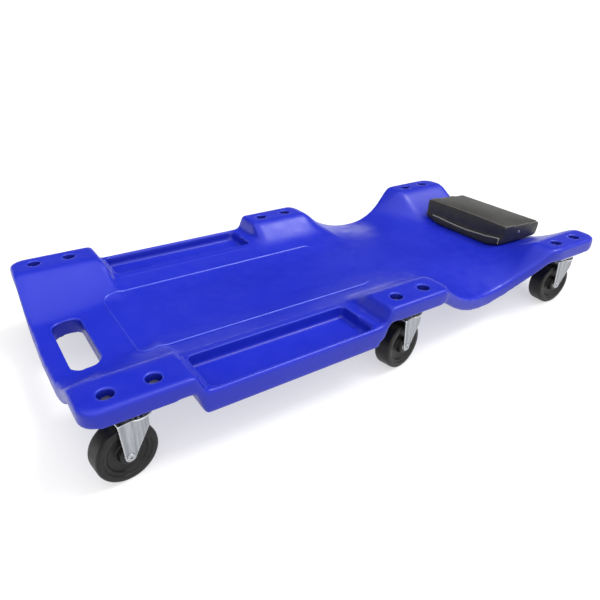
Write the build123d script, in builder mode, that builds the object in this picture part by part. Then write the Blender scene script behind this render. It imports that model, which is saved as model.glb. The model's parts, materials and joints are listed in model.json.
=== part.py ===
from build123d import *
import os
from math import cos, radians, sin

# Mechanic's creeper: a hollow blow-moulded deck on six swivel casters, with a padded headrest.
# Millimetres. +X points from the feet to the head, +Z up. The origin is on the floor, at the
# middle of the deck's plan. "Left" is the -Y side, which is on the left of a person lying on it.

# ---- Driving dimensions ----
HALF_LENGTH = 496.5
HALF_WIDTH = 236.5
PAD_TOP = 125.0  # the six raised caster pads, the highest part of the deck
RIM_Z = 99.0  # the deck's level beside the trays
DECK_DEPTH = 26.0  # from the top skin down to the bottom skin
SKIN = 4.0  # wall thickness of the blow moulding

WHEEL_D = 80.0
WHEEL_WIDTH = 28.0
CASTER_Y = 207.5
CASTER_X = {"foot": -427.3, "middle": 16.0, "head": 423.9}
CASTER_YAW = {"foot": 8.0, "middle": 10.0, "head": -4.0}  # how far each one has swivelled
TRAIL = 20.0  # from the swivel axis back to the axle
BOLT_SPACING = 56.8

# ---- Deck shape ----
FOOT_PAD_END = -357.5
RIM_START = -341.5
RIM_END = -57.5
MIDDLE_PAD_START = -41.5
MIDDLE_PAD_END = 81.5
ARM_LOW_X = 218.5  # lowest point of the arm cut-outs
ARM_LOW_Z = 64.5
HEAD_PAD_START = 353.5
CENTRE_Z = 86.0  # the middle of the dish
FOOT_DIP = 12.0  # how much lower the middle is at the foot end
HEAD_DIP = 14.0  # and at the head end
WAIST_HALF_WIDTH = 208.5
FOOT_CORNER_R = 24.0
HEAD_CORNER_R = 28.0
PAD_END_R = 6.0
FOOT_EDGE_BOW = 4.0  # how much further out the foot edge's middle is than its corners
PAD_END_CUT = (16.0, 15.0)  # the middle pads' slanting ends, along X and Y
PAD_END_OVERRUN = 7.0  # how far those ends pass MIDDLE_PAD_END
ARM_EDGE = [(146.0, 214.5), (ARM_LOW_X, WAIST_HALF_WIDTH), (300.0, 213.5)]
HEAD_SIDE_START = HEAD_PAD_START + 22.0
HEAD_SIDE_IN = 2.0  # how much narrower the deck is at the head pads
# Where the dish starts to rise, and where it meets the edge's level, at stations along X
RISE = [(-497, 74, 168), (-364, 74, 168), (-338, 50, 152), (60, 50, 152),
        (140, 60, 205), (300, 60, 205), (357, 60, 180), (497, 60, 180)]
PAD_WALL_Y = (122.0, 177.0)  # the middle pads' inner walls, from their foot to their top
RISE_POWER = 1.6  # how the dish steepens on its way up

TRAY_X = (-357.0, -59.5)  # outside of the tray boxes, at the top
TRAY_BOTTOM_X = (-347.0, -63.0)
TRAY_INNER_Y = 138.0
TRAY_BOTTOM_Z = 63.0
RECESS_X = (-336.5, -70.5)
RECESS_Y = (150.0, 228.0)
RECESS_FLOOR_Z = 80.0
RECESS_CORNER_R = 9.0
RECESS_DRAFT = 8.0  # degrees
HAND_HOLD_X = -446.5
HAND_HOLD_SIZE = (43.0, 144.0)
HAND_HOLD_CORNER_R = 18.0

POCKET_R = 10.2
POCKET_FLOOR_Z = 110.0
SEAT_Z = 100.0  # the moulded seats, in which the caster plates lie out of sight
SEAT_GAP = 1.0  # around the plate
SOLID_MARGIN = 4.0  # how far the moulding stays solid around the plate
KINGPIN_HEAD_ROOM = (13.0, 4.0)  # radius and depth of the space above each seat
CUT = 200.0  # long enough to pass right through the deck

# ---- Fasteners ----
BOLT_R = 4.0
BOLT_HOLE_R = 4.4
BOLT_HALF_FLATS = 6.5  # half of 13 mm across flats, for the heads and the nuts
BOLT_HEAD_THICK = 5.3
BOLT_HEAD_CHAMFER = 0.6
BOLT_END_PROUD = 1.5  # beyond the nut
NUT_THICK = 4.0  # thin nuts, so that the fork turns clear below them
WASHER_R = 8.0
WASHER_THICK = 1.6
REST_SCREW_X = 432.5
REST_SCREW_Y = 50.0
REST_SCREW_R = 3.0
REST_SCREW_HOLE_R = 3.3
REST_SCREW_HEAD = (5.8, 3.4)  # radius and height
REST_SCREW_SLOT = (7.0, 1.2, 2.0)  # length, width and depth of its cross
REST_WASHER_R = 8.5
REST_WASHER_THICK = 1.4
SPOT_FACE_R = 9.5
SPOT_FACE_DEPTH = 0.6
SCREW_BOSS_R = 12.0  # solid moulding around each headrest screw
TEE_NUT_R = 9.5
TEE_NUT_BARREL_R = 4.5
TEE_NUT_THICK = 1.6

# ---- Caster ----
PLATE_SIZE = (84.0, 48.0)
PLATE_CORNER_R = 10.0
PLATE_THICK = 2.5
PLATE_BOSS_R = 20.5
BALL_R = 2.5
BALL_CIRCLE_R = 16.0
BALL_COUNT = 16
BALL_GAP = 0.1
KINGPIN_R = 5.0
KINGPIN_HEAD = (10.0, 7.5, 3.0)  # foot radius, top radius and height of the formed head
KINGPIN_RIVET = (9.0, 7.0, 3.2)  # the same for the riveted end under the crown
CROWN_TOP_Z = 91.0
CROWN_R = 23.0
FORK_THICK = 2.5
FORK_INNER_HALF = 17.5
FORK_TOP_BACK = -30.0
FORK_TOP_FRONT = 9.0
FORK_CHEEK = 16.0  # how far the leg's front edge runs straight down before it tapers
FORK_TIP_R = 7.0
AXLE_Z = WHEEL_D / 2
AXLE_R = 4.0
AXLE_HEAD_R = 5.4
AXLE_HEAD_THICK = 1.4
AXLE_DIMPLE_R = 2.2
BUSH_R = 6.5
BUSH_END_GAP = 0.3
RUNNING_GAP = 0.08
TREAD_SHOULDER_R = 4.0
WEB_R = 29.0
WEB_HALF = 8.0
HUB_R = 12.0
HUB_HALF = 16.6

# ---- Headrest ----
REST_X = (374.5, 490.5)
REST_HALF_LENGTH = 108.0
REST_TOP_Z = 122.0
REST_TOP_SLOPE = 4.0  # degrees, falling towards the head end
REST_CORNER_R = 8.0
REST_EDGE_R = 5.0
REST_LIFT = 0.4  # clear of the deck
COVER_THICK = 1.2
BOARD_THICK = 5.0
BOARD_HOLE_R = 5.0
BOARD_LOW = REST_LIFT + COVER_THICK
BOARD_HIGH = BOARD_LOW + BOARD_THICK


def ramp(low, high, value):
    """Rises smoothly from 0 at low to 1 at high."""
    t = min(1.0, max(0.0, (value - low) / (high - low)))
    return t * t * (3 - 2 * t)


def soft_min(a, b, soft):
    """The smaller of two heights, with their crossing rounded over."""
    overlap = max(0.0, soft - abs(a - b))
    return min(a, b) - overlap * overlap / (4 * soft)


def edge_height(x):
    """The top skin's height along the side of the deck."""
    if x < MIDDLE_PAD_START:
        step_down = ramp(FOOT_PAD_END, RIM_START, x)
        step_up = ramp(RIM_END, MIDDLE_PAD_START, x)
        return PAD_TOP - (PAD_TOP - RIM_Z) * (step_down - step_up)
    if x < ARM_LOW_X:
        reach = (ARM_LOW_X - x) / (ARM_LOW_X - MIDDLE_PAD_END)
        power = 2.3
    else:
        reach = (x - ARM_LOW_X) / (HEAD_PAD_START - ARM_LOW_X)
        power = 1.95
    valley = ARM_LOW_Z + (PAD_TOP - ARM_LOW_Z) * reach**power
    return soft_min(PAD_TOP, valley, 10.0)


def centre_height(x):
    """The top skin's height along the middle of the deck."""
    foot = FOOT_DIP * (1 - ramp(-490, -340, x))
    head = HEAD_DIP * ramp(60, 540, x)
    return CENTRE_Z - foot - head


def rise_limits(x):
    """Where the dish starts to rise and where it ends, across the deck at x."""
    x = min(max(x, RISE[0][0]), RISE[-1][0])
    for before, after in zip(RISE, RISE[1:]):
        if x <= after[0]:
            share = (x - before[0]) / (after[0] - before[0])
            start = before[1] + share * (after[1] - before[1])
            end = before[2] + share * (after[2] - before[2])
            return start, end


def rise_share(y, start, end):
    """0 up to start and 1 from end on, across the deck, steepening on its way."""
    share = max(0.0, (abs(y) - start) / (end - start)) ** RISE_POWER
    return soft_min(1.0, share, 0.15)


def deck_height(x, y):
    """The height of the top skin."""
    centre = centre_height(x)
    edge = edge_height(x)
    shoulder = edge
    if RIM_START < x < ARM_LOW_X:
        shoulder = min(edge, RIM_Z)
    dish = (shoulder - centre) * rise_share(y, *rise_limits(x))
    pad = (edge - shoulder) * rise_share(y, *PAD_WALL_Y)
    return centre + dish + pad


def save(part, name):
    """Labels a finished piece and writes its file."""
    part.label = name
    export_step(part, f"parts/{name}.step")


os.makedirs("parts", exist_ok=True)

CASTERS = [(f"{row}_{side}", x, sign * CASTER_Y, -sign * CASTER_YAW[row])
           for row, x in CASTER_X.items()
           for side, sign in (("left", -1), ("right", 1))]
BOLT_PLACES = [(x + end * BOLT_SPACING / 2, y) for _, x, y, _ in CASTERS for end in (-1, 1)]
CASTER_PLACES = [(x, y) for _, x, y, _ in CASTERS]
REST_SCREW_PLACES = [(REST_SCREW_X, -REST_SCREW_Y), (REST_SCREW_X, REST_SCREW_Y)]
TRAY_MID_X = sum(TRAY_X) / 2
RECESS_MID = (sum(RECESS_X) / 2, sum(RECESS_Y) / 2)
HEAD_Z = POCKET_FLOOR_Z + WASHER_THICK
PLATE_BOTTOM_Z = SEAT_Z - PLATE_THICK
BALL_Z = CROWN_TOP_Z + BALL_R / 2
BOSS_BOTTOM_Z = BALL_Z + BALL_R / 2
KINGPIN_FOOT_Z = CROWN_TOP_Z - FORK_THICK - RUNNING_GAP
REST_DECK_Z = deck_height(REST_SCREW_X, REST_SCREW_Y)
SPOT_FACE_Z = REST_DECK_Z - DECK_DEPTH + SPOT_FACE_DEPTH
REST_WASHER_Z = SPOT_FACE_Z - REST_WASHER_THICK
TEE_NUT_Z = REST_DECK_Z + BOARD_HIGH + 0.5
REST_SCREW_LENGTH = TEE_NUT_Z + TEE_NUT_THICK - REST_WASHER_Z

# ---- The deck's curved top skin, as one spline surface ----
grid_x = [-510 + 5 * i for i in range(205)]
grid_y = [-245 + 7 * j for j in range(71)]
top_skin = Face.make_surface_from_array_of_points(
    [[Vector(x, y, deck_height(x, y)) for y in grid_y] for x in grid_x], tol=0.1, min_deg=3)

# ---- The deck's plan, and the same outline drawn in by one wall for its hollow ----


def deck_plan(inset):
    """The deck's outline seen from above, drawn in by inset."""
    half_length = HALF_LENGTH - inset
    half_width = HALF_WIDTH - inset
    with BuildSketch() as outline:
        with BuildLine():
            foot_edge = Line((-half_length, 0), (-half_length + FOOT_EDGE_BOW, half_width))
            pad_end_x = MIDDLE_PAD_END + PAD_END_OVERRUN
            side_edge = Line(foot_edge @ 1, (pad_end_x - PAD_END_CUT[0], half_width))
            pad_end = Line(side_edge @ 1, (pad_end_x, half_width - PAD_END_CUT[1]))
            arm_edge = Spline(pad_end @ 1, *[(x, y - inset) for x, y in ARM_EDGE],
                              (HEAD_SIDE_START, half_width - HEAD_SIDE_IN),
                              tangents=((1, -0.25), (1, 0.1)))
            head_side = Line(arm_edge @ 1, (half_length, half_width - HEAD_SIDE_IN))
            head_edge = Line(head_side @ 1, (half_length, 0))
            Line(head_edge @ 1, foot_edge @ 0)
        make_face()
        fillet(outline.vertices().sort_by_distance(side_edge @ 1)[:2], PAD_END_R)
        fillet(outline.vertices().sort_by_distance(foot_edge @ 1)[0], FOOT_CORNER_R - inset)
        fillet(outline.vertices().sort_by_distance(head_side @ 1)[0], HEAD_CORNER_R - inset)
        mirror(about=Plane.XZ)
    return outline.sketch


outer_plan = deck_plan(0)
inner_plan = deck_plan(SKIN)

# ---- The hollow inside the deck, which stops at the moulded-solid places ----
with BuildPart() as hollow:
    extrude(to_extrude=Pos(0, 0, -SKIN) * top_skin, amount=DECK_DEPTH - 2 * SKIN, dir=(0, 0, -1))
    extrude(to_extrude=inner_plan, amount=CUT, mode=Mode.INTERSECT)
    with Locations(*CASTER_PLACES):
        Box(PLATE_SIZE[0] + 2 * SOLID_MARGIN, PLATE_SIZE[1] + 2 * SOLID_MARGIN, 2 * CUT,
            mode=Mode.SUBTRACT)
    with Locations((TRAY_MID_X, HALF_WIDTH), (TRAY_MID_X, -HALF_WIDTH)):
        Box(TRAY_X[1] - TRAY_X[0] + 2 * SKIN, 2 * (HALF_WIDTH - TRAY_INNER_Y + SKIN), 2 * CUT,
            mode=Mode.SUBTRACT)
    with Locations((HAND_HOLD_X, 0)):
        Box(HAND_HOLD_SIZE[0] + 2 * SKIN, HAND_HOLD_SIZE[1] + 2 * SKIN, 2 * CUT,
            mode=Mode.SUBTRACT)
    with Locations(*REST_SCREW_PLACES):
        Cylinder(SCREW_BOSS_R, 2 * CUT, mode=Mode.SUBTRACT)

# ---- The deck ----
with BuildPart() as deck:
    extrude(to_extrude=top_skin, amount=DECK_DEPTH, dir=(0, 0, -1))
    extrude(to_extrude=outer_plan, amount=CUT, mode=Mode.INTERSECT)
    # Tray boxes under the two sides, their ends drawn in towards the bottom
    for side_plane in (Plane.XZ.offset(TRAY_INNER_Y), Plane.XZ.offset(-HALF_WIDTH)):
        with BuildSketch(side_plane):
            with BuildLine():
                Polyline((TRAY_X[0], RIM_Z - 2), (TRAY_X[1], RIM_Z - 2),
                         (TRAY_BOTTOM_X[1], TRAY_BOTTOM_Z), (TRAY_BOTTOM_X[0], TRAY_BOTTOM_Z),
                         close=True)
            make_face()
        extrude(amount=HALF_WIDTH - TRAY_INNER_Y)
    with BuildSketch(Plane.XY.offset(RIM_Z + 2)):
        with Locations(*[(RECESS_MID[0], side * RECESS_MID[1]) for side in (-1, 1)]):
            RectangleRounded(RECESS_X[1] - RECESS_X[0], RECESS_Y[1] - RECESS_Y[0],
                             RECESS_CORNER_R)
    extrude(amount=RECESS_FLOOR_Z - RIM_Z - 2, taper=RECESS_DRAFT, mode=Mode.SUBTRACT)
    # Hand hold at the foot end
    with BuildSketch():
        with Locations((HAND_HOLD_X, 0)):
            RectangleRounded(*HAND_HOLD_SIZE, HAND_HOLD_CORNER_R)
    extrude(amount=CUT, mode=Mode.SUBTRACT)
    # Seats for the caster plates, with room for the kingpin heads
    with BuildSketch(Plane.XY.offset(SEAT_Z)):
        with Locations(*CASTER_PLACES):
            RectangleRounded(PLATE_SIZE[0] + 2 * SEAT_GAP, PLATE_SIZE[1] + 2 * SEAT_GAP,
                             PLATE_CORNER_R + SEAT_GAP)
    extrude(amount=-CUT, mode=Mode.SUBTRACT)
    room_r, room_depth = KINGPIN_HEAD_ROOM
    with Locations(*[(x, y, SEAT_Z + room_depth / 2) for x, y in CASTER_PLACES]):
        Cylinder(room_r, room_depth, mode=Mode.SUBTRACT)
    # Bolt pockets and bolt holes
    with Locations(*[(x, y, PAD_TOP + 1) for x, y in BOLT_PLACES]):
        CounterBoreHole(BOLT_HOLE_R, POCKET_R, PAD_TOP + 1 - POCKET_FLOOR_Z, depth=CUT)
    # Headrest screw holes, spot-faced underneath for their washers
    with Locations(*[(x, y, PAD_TOP) for x, y in REST_SCREW_PLACES]):
        Hole(REST_SCREW_HOLE_R, depth=CUT)
    with Locations(*[(x, y, SPOT_FACE_Z - 5) for x, y in REST_SCREW_PLACES]):
        Cylinder(SPOT_FACE_R, 10, mode=Mode.SUBTRACT)
    add(hollow.part, mode=Mode.SUBTRACT)
save(deck.part, "deck")

# ---- Caster bolts, washers and nuts: two of each at every caster ----
with BuildPart() as caster_bolts:
    with BuildSketch(Plane.XY.offset(HEAD_Z)):
        with Locations(*BOLT_PLACES):
            RegularPolygon(BOLT_HALF_FLATS, 6, major_radius=False)
    extrude(amount=BOLT_HEAD_THICK)
    head_tops = caster_bolts.faces().filter_by(Axis.Z).sort_by(Axis.Z)[-len(BOLT_PLACES):]
    chamfer(head_tops.edges(), BOLT_HEAD_CHAMFER)
    with BuildSketch(Plane.XY.offset(HEAD_Z)):
        with Locations(*BOLT_PLACES):
            Circle(BOLT_R)
    extrude(amount=PLATE_BOTTOM_Z - NUT_THICK - BOLT_END_PROUD - HEAD_Z)
save(caster_bolts.part, "caster_bolts")

with BuildPart() as caster_washers:
    with BuildSketch(Plane.XY.offset(POCKET_FLOOR_Z)):
        with Locations(*BOLT_PLACES):
            Circle(WASHER_R)
            Circle(BOLT_R + RUNNING_GAP, mode=Mode.SUBTRACT)
    extrude(amount=WASHER_THICK)
save(caster_washers.part, "caster_washers")

with BuildPart() as caster_nuts:
    with BuildSketch(Plane.XY.offset(PLATE_BOTTOM_Z)):
        with Locations(*BOLT_PLACES):
            RegularPolygon(BOLT_HALF_FLATS, 6, major_radius=False)
            Circle(BOLT_R + RUNNING_GAP, mode=Mode.SUBTRACT)
    extrude(amount=-NUT_THICK)
save(caster_nuts.part, "caster_nuts")

# ---- One caster at the origin, trailing towards -X ----
with BuildPart() as plate:
    with BuildSketch(Plane.XY.offset(PLATE_BOTTOM_Z)):
        RectangleRounded(*PLATE_SIZE, PLATE_CORNER_R)
        with Locations((-BOLT_SPACING / 2, 0), (BOLT_SPACING / 2, 0)):
            Circle(BOLT_HOLE_R, mode=Mode.SUBTRACT)
    extrude(amount=PLATE_THICK)
    with BuildSketch(Plane.XY.offset(BOSS_BOTTOM_Z)):
        Circle(PLATE_BOSS_R)
    extrude(amount=PLATE_BOTTOM_Z - BOSS_BOTTOM_Z)
    Hole(KINGPIN_R, depth=400)
    with Locations((0, 0, BALL_Z)):
        Torus(BALL_CIRCLE_R, BALL_R + BALL_GAP, mode=Mode.SUBTRACT)
    fillet(plate.edges().filter_by(GeomType.CIRCLE).filter_by(
        lambda rim: abs(rim.radius - PLATE_BOSS_R) < 0.1).sort_by(Axis.Z)[0], 1.2)

with BuildPart() as balls:
    with Locations((0, 0, BALL_Z)):
        with PolarLocations(BALL_CIRCLE_R, BALL_COUNT):
            Sphere(BALL_R)

with BuildPart() as kingpin:
    with BuildSketch(Plane.XZ):
        with BuildLine():
            head_r, head_top_r, head_height = KINGPIN_HEAD
            rivet_r, rivet_end_r, rivet_height = KINGPIN_RIVET
            Polyline((0, KINGPIN_FOOT_Z - rivet_height), (rivet_end_r, KINGPIN_FOOT_Z - rivet_height),
                     (rivet_r, KINGPIN_FOOT_Z - rivet_height / 2), (rivet_r, KINGPIN_FOOT_Z),
                     (KINGPIN_R, KINGPIN_FOOT_Z), (KINGPIN_R, SEAT_Z), (head_r, SEAT_Z),
                     (head_r, SEAT_Z + head_height / 2), (head_top_r, SEAT_Z + head_height),
                     (0, SEAT_Z + head_height), close=True)
        make_face()
    revolve(axis=Axis.Z)

with BuildPart() as fork:
    # The round crown and the flat web that carries it down to the legs
    with BuildSketch(Plane.XY.offset(CROWN_TOP_Z - FORK_THICK)):
        Circle(CROWN_R)
        with Locations(((FORK_TOP_BACK + FORK_TOP_FRONT) / 2, 0)):
            Rectangle(FORK_TOP_FRONT - FORK_TOP_BACK, 2 * (FORK_INNER_HALF + FORK_THICK))
    extrude(amount=FORK_THICK)
    # The two legs, tapering to a round tip about the axle
    with BuildSketch(Plane.XZ.offset(FORK_INNER_HALF)):
        with BuildLine():
            Polyline((FORK_TOP_BACK, CROWN_TOP_Z), (FORK_TOP_FRONT, CROWN_TOP_Z),
                     (FORK_TOP_FRONT, CROWN_TOP_Z - FORK_CHEEK),
                     (-TRAIL + FORK_TIP_R - 0.8, AXLE_Z - 3),
                     (-TRAIL - FORK_TIP_R + 0.3, AXLE_Z - 2), close=True)
        make_face()
        with Locations((-TRAIL, AXLE_Z)):
            Circle(FORK_TIP_R)
    extrude(amount=FORK_THICK)
    mirror(about=Plane.XZ)
    # Bearing race, kingpin hole and axle holes
    with Locations((0, 0, BALL_Z)):
        Torus(BALL_CIRCLE_R, BALL_R + BALL_GAP, mode=Mode.SUBTRACT)
    with BuildSketch(Plane.XY.offset(CROWN_TOP_Z - 10)):
        Circle(KINGPIN_R + RUNNING_GAP)
    extrude(amount=20, mode=Mode.SUBTRACT)
    with BuildSketch(Plane.XZ):
        with Locations((-TRAIL, AXLE_Z)):
            Circle(AXLE_R)
    extrude(amount=60, both=True, mode=Mode.SUBTRACT)

with BuildPart() as axle:
    with BuildSketch(Plane.XZ):
        with Locations((-TRAIL, AXLE_Z)):
            Circle(AXLE_R)
    extrude(amount=FORK_INNER_HALF + FORK_THICK, both=True)
    with BuildSketch(Plane.XZ.offset(FORK_INNER_HALF + FORK_THICK)):
        with Locations((-TRAIL, AXLE_Z)):
            Circle(AXLE_HEAD_R)
            Circle(AXLE_DIMPLE_R, mode=Mode.SUBTRACT)
    extrude(amount=AXLE_HEAD_THICK)
    mirror(about=Plane.XZ)
    chamfer(axle.edges().filter_by(GeomType.CIRCLE).filter_by(
        lambda rim: abs(rim.radius - AXLE_HEAD_R) < 0.1).group_by(Axis.Y)[0], 0.5)

# Half of the wheel's section: tread, stepped rim ring, web and hub, turned about the axle
axle_plane = Plane((-TRAIL, 0, AXLE_Z), x_dir=(1, 0, 0), z_dir=(0, 0, 1))
with BuildPart() as wheel:
    with BuildSketch(axle_plane):
        with BuildLine():
            tread = Line((WHEEL_D / 2, 0), (WHEEL_D / 2, WHEEL_WIDTH / 2 - TREAD_SHOULDER_R))
            shoulder = JernArc(tread @ 1, (0, 1), TREAD_SHOULDER_R, 90)
            face = Line(shoulder @ 1, (WEB_R + 2.5, WHEEL_WIDTH / 2))
            Polyline(face @ 1, (WEB_R + 1, WHEEL_WIDTH / 2 - 2), (WEB_R - 3, WHEEL_WIDTH / 2 - 2.5),
                     (WEB_R - 5, WEB_HALF), (HUB_R + 2, WEB_HALF), (HUB_R, HUB_HALF),
                     (BUSH_R, HUB_HALF), (BUSH_R, 0), tread @ 0)
        make_face()
    revolve(axis=Axis((-TRAIL, 0, AXLE_Z), (0, 1, 0)))
    mirror(about=Plane.XZ)

with BuildPart() as bush:
    with BuildSketch(Plane.XZ):
        with Locations((-TRAIL, AXLE_Z)):
            Circle(BUSH_R)
            Circle(AXLE_R + RUNNING_GAP, mode=Mode.SUBTRACT)
    extrude(amount=FORK_INNER_HALF - BUSH_END_GAP, both=True)

# ---- The six casters: the plate and balls stay square, the fork and wheel swivel ----
for name, x, y, yaw in CASTERS:
    fixed_place = Location((x, y, 0))
    turned_place = Location((x, y, 0), (0, 0, yaw))
    save(plate.part.moved(fixed_place), f"{name}_top_plate")
    save(balls.part.moved(fixed_place), f"{name}_balls")
    save(kingpin.part.moved(fixed_place), f"{name}_kingpin")
    for piece, part in (("fork", fork), ("axle", axle), ("wheel", wheel), ("bush", bush)):
        save(part.part.moved(turned_place), f"{name}_{piece}")

# ---- Headrest: a vinyl cover around foam and a curved board, screwed down from below ----

def cushion_block(inset, edge_radius):
    """The cushion's block with a sloping top, drawn in by inset on its sides and top."""
    slope = radians(REST_TOP_SLOPE)
    top_plane = Plane((sum(REST_X) / 2, 0, REST_TOP_Z - inset), x_dir=(cos(slope), 0, -sin(slope)),
                      z_dir=(sin(slope), 0, cos(slope)))
    with BuildPart() as block:
        with BuildSketch(top_plane):
            RectangleRounded(REST_X[1] - REST_X[0] - 2 * inset, 2 * (REST_HALF_LENGTH - inset),
                             REST_CORNER_R - inset)
        extrude(amount=-90)
        fillet(block.faces().sort_by(Axis.Z)[-1].edges(), edge_radius)
    return block.part


def dish_below(rise):
    """Everything from far below up to the dish's surface raised by rise."""
    with BuildPart() as below:
        extrude(to_extrude=Pos(0, 0, rise) * rest_dish, amount=120, dir=(0, 0, -1))
    return below.part


rest_x = [REST_X[0] - 20 + 8 * i for i in range(20)]
rest_y = [-126 + 7 * j for j in range(37)]
rest_dish = Face.make_surface_from_array_of_points(
    [[Vector(x, y, deck_height(x, y)) for y in rest_y] for x in rest_x], tol=0.02, min_deg=3)
below_cover = dish_below(REST_LIFT)
below_board = dish_below(BOARD_LOW)
below_foam = dish_below(BOARD_HIGH)

with BuildPart() as rest_inside:
    add(cushion_block(COVER_THICK, REST_EDGE_R - 1))
    add(below_board, mode=Mode.SUBTRACT)

with BuildPart() as headrest_cover:
    add(cushion_block(0, REST_EDGE_R))
    add(below_cover, mode=Mode.SUBTRACT)
    add(rest_inside.part, mode=Mode.SUBTRACT)
    with Locations(*[(x, y, PAD_TOP - 60) for x, y in REST_SCREW_PLACES]):
        Cylinder(REST_SCREW_HOLE_R, 70, mode=Mode.SUBTRACT)
save(headrest_cover.part, "headrest_cover")

with BuildPart() as headrest_board:
    add(rest_inside.part)
    add(below_foam, mode=Mode.INTERSECT)
    with Locations(*[(x, y, PAD_TOP - 60) for x, y in REST_SCREW_PLACES]):
        Cylinder(BOARD_HOLE_R, 90, mode=Mode.SUBTRACT)
save(headrest_board.part, "headrest_board")

with BuildPart() as headrest_foam:
    add(rest_inside.part)
    add(below_foam, mode=Mode.SUBTRACT)
    with Locations(*[(x, y, TEE_NUT_Z + 1) for x, y in REST_SCREW_PLACES]):
        Cylinder(TEE_NUT_R + 0.5, 20, mode=Mode.SUBTRACT)
save(headrest_foam.part, "headrest_foam")

# ---- Each headrest screw's stack: tee nut on top of the board, washer and head under the deck ----
with BuildPart() as headrest_tee_nuts:
    with BuildSketch(Plane.XY.offset(TEE_NUT_Z)):
        with Locations(*REST_SCREW_PLACES):
            Circle(TEE_NUT_R)
    extrude(amount=TEE_NUT_THICK)
    with BuildSketch(Plane.XY.offset(TEE_NUT_Z)):
        with Locations(*REST_SCREW_PLACES):
            Circle(TEE_NUT_BARREL_R)
    extrude(amount=-BOARD_THICK)
    with Locations(*[(x, y, TEE_NUT_Z + TEE_NUT_THICK) for x, y in REST_SCREW_PLACES]):
        Hole(REST_SCREW_R + RUNNING_GAP, depth=20)
save(headrest_tee_nuts.part, "headrest_tee_nuts")

with BuildPart() as headrest_washers:
    with BuildSketch(Plane.XY.offset(REST_WASHER_Z)):
        with Locations(*REST_SCREW_PLACES):
            Circle(REST_WASHER_R)
            Circle(REST_SCREW_R + RUNNING_GAP, mode=Mode.SUBTRACT)
    extrude(amount=REST_WASHER_THICK)
save(headrest_washers.part, "headrest_washers")

with BuildPart() as headrest_screws:
    with BuildSketch(Plane.XY.offset(REST_WASHER_Z)):
        with Locations(*REST_SCREW_PLACES):
            Circle(REST_SCREW_HEAD[0])
    extrude(amount=-REST_SCREW_HEAD[1])
    fillet(headrest_screws.faces().sort_by(Axis.Z)[:2].edges(), 1.5)
    slot_length, slot_width, slot_depth = REST_SCREW_SLOT
    with BuildSketch(Plane.XY.offset(REST_WASHER_Z - REST_SCREW_HEAD[1])):
        with Locations(*REST_SCREW_PLACES):
            Rectangle(slot_length, slot_width)
            Rectangle(slot_width, slot_length)
    extrude(amount=slot_depth, mode=Mode.SUBTRACT)
    with BuildSketch(Plane.XY.offset(REST_WASHER_Z)):
        with Locations(*REST_SCREW_PLACES):
            Circle(REST_SCREW_R)
    extrude(amount=REST_SCREW_LENGTH)
save(headrest_screws.part, "headrest_screws")
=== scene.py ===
import bmesh
import bpy
import json
import math
import numpy as np
from mathutils import Matrix, Vector
from mathutils.bvhtree import BVHTree
from mathutils.kdtree import KDTree


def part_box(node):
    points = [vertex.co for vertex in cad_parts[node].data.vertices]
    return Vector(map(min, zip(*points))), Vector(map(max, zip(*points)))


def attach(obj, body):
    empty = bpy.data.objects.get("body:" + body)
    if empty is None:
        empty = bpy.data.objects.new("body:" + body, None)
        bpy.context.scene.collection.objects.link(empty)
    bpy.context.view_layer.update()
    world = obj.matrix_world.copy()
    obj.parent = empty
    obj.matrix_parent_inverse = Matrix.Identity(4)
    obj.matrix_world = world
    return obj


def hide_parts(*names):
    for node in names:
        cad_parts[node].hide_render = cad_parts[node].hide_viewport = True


# A mechanic's creeper: blow-moulded deck, six casters and a vinyl headrest. Metres, +X to the
# head, +Z up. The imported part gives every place; this script gives the surfaces.

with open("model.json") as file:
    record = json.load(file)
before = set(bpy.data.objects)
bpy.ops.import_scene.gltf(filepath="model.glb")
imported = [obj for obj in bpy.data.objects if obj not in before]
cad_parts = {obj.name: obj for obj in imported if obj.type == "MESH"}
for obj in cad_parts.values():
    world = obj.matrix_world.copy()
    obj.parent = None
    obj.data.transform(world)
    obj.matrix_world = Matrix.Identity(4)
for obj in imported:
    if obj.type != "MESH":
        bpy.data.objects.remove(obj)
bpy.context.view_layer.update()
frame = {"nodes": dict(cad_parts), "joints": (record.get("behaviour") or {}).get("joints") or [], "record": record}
MM = 0.001

# ---- Sizes that the looks need ----
DECK_VOXEL = 2.0 * MM
EDGE_REACH = 9.0 * MM  # how far in from its outer walls the deck is rounded most
EDGE_ROUNDS = 48
BLEND_ROUNDS = 70  # how soft the dish's run up into the pads is
FORK_VOXEL = 0.8 * MM
PANEL_MIDDLE_X = -172.5 * MM  # the moulded panel line on the dish
PANEL_HALF_X = 207.5 * MM
PANEL_HALF_Y = 97.0 * MM
PANEL_CORNER_R = 16.0 * MM
PANEL_HEIGHT = 1.2 * MM
PANEL_LINE_HALF = 1.0 * MM
PANEL_FADE = 9.0 * MM
PANEL_LONG_HIGHLIGHT = 0.9  # how strong the panel line's painted highlight is along its sides and across its end
PANEL_END_HIGHLIGHT = 0.25
SEAT_HALF = (46.0 * MM, 26.5 * MM)  # the caster plates' seats under the deck
CASTER_Y = 207.5 * MM
SKY_LOW = 0.12  # the room's brightness away from and towards its bright side
SKY_HIGH = 1.7
SKY_RISE = (0.3, 0.85)  # how squarely a direction faces the bright side, from dark to bright
SKY_SIDE = (-0.12, -0.36, 0.92)
SUN_STRENGTH = 1.7
SUN_SIDE = (0.5, -0.15, 0.82)
SUN_WIDTH = 24  # degrees
FLOOR_GLOW = 0.55  # the floor's own light, which keeps its shadows pale
BACKDROP_GLOW = 1.1
FLOOR_RADIUS = 30.0
RIM_HEIGHT = 4.0
HIGHLIGHT_START = 0.1 * MM  # how proud an edge is when its painted highlight starts
HIGHLIGHT_DEPTH = 0.42 * MM  # and how much more when its painted highlight is full
SHADE_START = 0.08 * MM  # how hollow a corner is when its painted shade starts
SHADE_DEPTH = 0.5 * MM
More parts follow.
